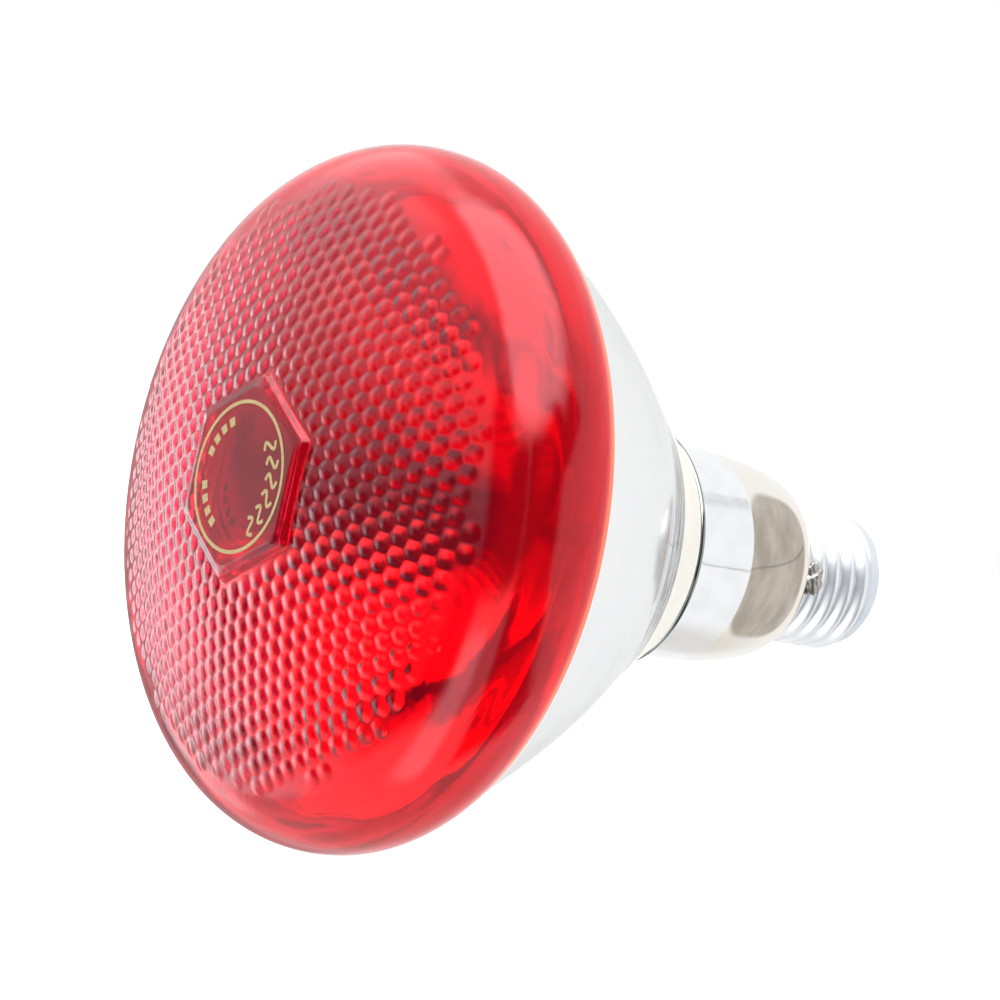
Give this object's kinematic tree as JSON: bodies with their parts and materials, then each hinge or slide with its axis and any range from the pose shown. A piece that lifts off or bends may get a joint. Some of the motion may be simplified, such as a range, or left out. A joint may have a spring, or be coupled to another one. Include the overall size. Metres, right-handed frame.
{
  "type": "infrared reflector heat lamp",
  "caption": "Sealed-beam infrared heat lamp: domed red lens with a raised dimple field and hexagonal boss, mirrored glass bowl, metal skirt and E27 screw cap.",
  "frame": {"origin": "tip of the centre contact, on the lamp's axis, where the screw base meets the holder's bottom contact", "axes": "+Y along the lamp's axis from the lens to the cap; the lens faces -Y; +Z through one corner of the hexagonal boss"},
  "size_m": [0.122, 0.142, 0.122],
  "materials": {
    "red_glass": "glossy pressed glass, tinted ruby red on the outside",
    "clear_glass": "glossy clear pressed glass",
    "aluminium_film": "vacuum-deposited mirror film",
    "gold_ink": "fired gold-coloured ink",
    "nickel": "drawn nickel-iron, satin",
    "tungsten": "dark drawn wire",
    "skirt_metal": "bright nickel plate, slightly warm",
    "shell_metal": "bright nickel-plated brass, softly polished",
    "cement": "matt capping cement",
    "black_glass": "glossy black cap glass",
    "brass": "satin brass",
    "solder": "dull solder",
    "copper": "bare copper wire",
    "fibre_sleeve": "woven glass-fibre sleeve"
  },
  "bodies": {
    "root": {"lens": "red_glass", "gold_print": "gold_ink", "reflector": "clear_glass", "mirror_coating": "aluminium_film", "ferrule_left": "nickel", "ferrule_right": "nickel", "lead_post_left": "nickel", "lead_post_right": "nickel", "exhaust_tube": "clear_glass", "filament": "tungsten", "bridge_bead": "clear_glass", "filament_hook": "tungsten", "base_skirt": "skirt_metal", "base_cement": "cement", "screw_shell": "shell_metal", "base_insulator": "black_glass", "centre_contact": "brass", "centre_solder": "solder", "side_solder": "solder", "centre_lead_wire": "copper", "side_lead_wire": "copper", "wire_sleeve": "fibre_sleeve"}
  },
  "joints": []
}
